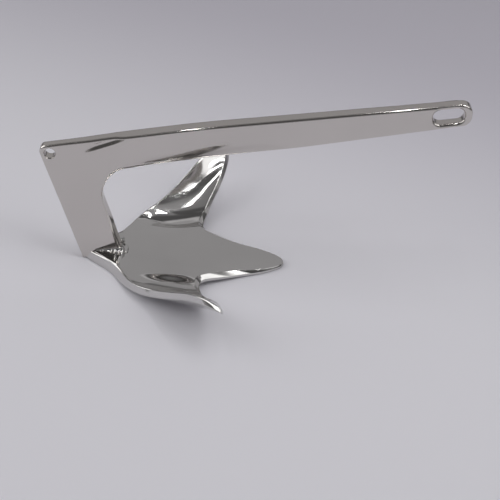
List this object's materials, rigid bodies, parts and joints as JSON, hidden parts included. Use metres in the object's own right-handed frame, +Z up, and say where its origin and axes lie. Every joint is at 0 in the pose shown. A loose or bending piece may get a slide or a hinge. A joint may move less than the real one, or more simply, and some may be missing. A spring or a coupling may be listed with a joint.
{
  "type": "claw anchor",
  "caption": "Small-boat claw anchor in polished stainless steel: flat shank with a shackle slot and a trip-line hole, welded to a broad palm with upswept side flukes.",
  "frame": {"origin": "on the ground, under the middle of the overall length, in the anchor's plane of symmetry", "axes": "+X from the heel to the shackle end, +Y to port, +Z up"},
  "size_m": [0.4198, 0.302, 0.207],
  "materials": {
    "shank_steel": "mirror-polished stainless steel plate",
    "palm_steel": "mirror-polished stainless steel with faint polishing lines",
    "fluke_steel": "mirror-polished stainless steel",
    "weld_steel": "ground and polished stainless steel weld"
  },
  "bodies": {
    "root": {"shank": "shank_steel", "palm": "palm_steel", "port_fluke": "fluke_steel", "starboard_fluke": "fluke_steel", "port_seam_weld": "weld_steel", "starboard_seam_weld": "weld_steel", "port_foot_weld": "weld_steel", "starboard_foot_weld": "weld_steel", "toe_weld": "weld_steel"}
  },
  "joints": []
}
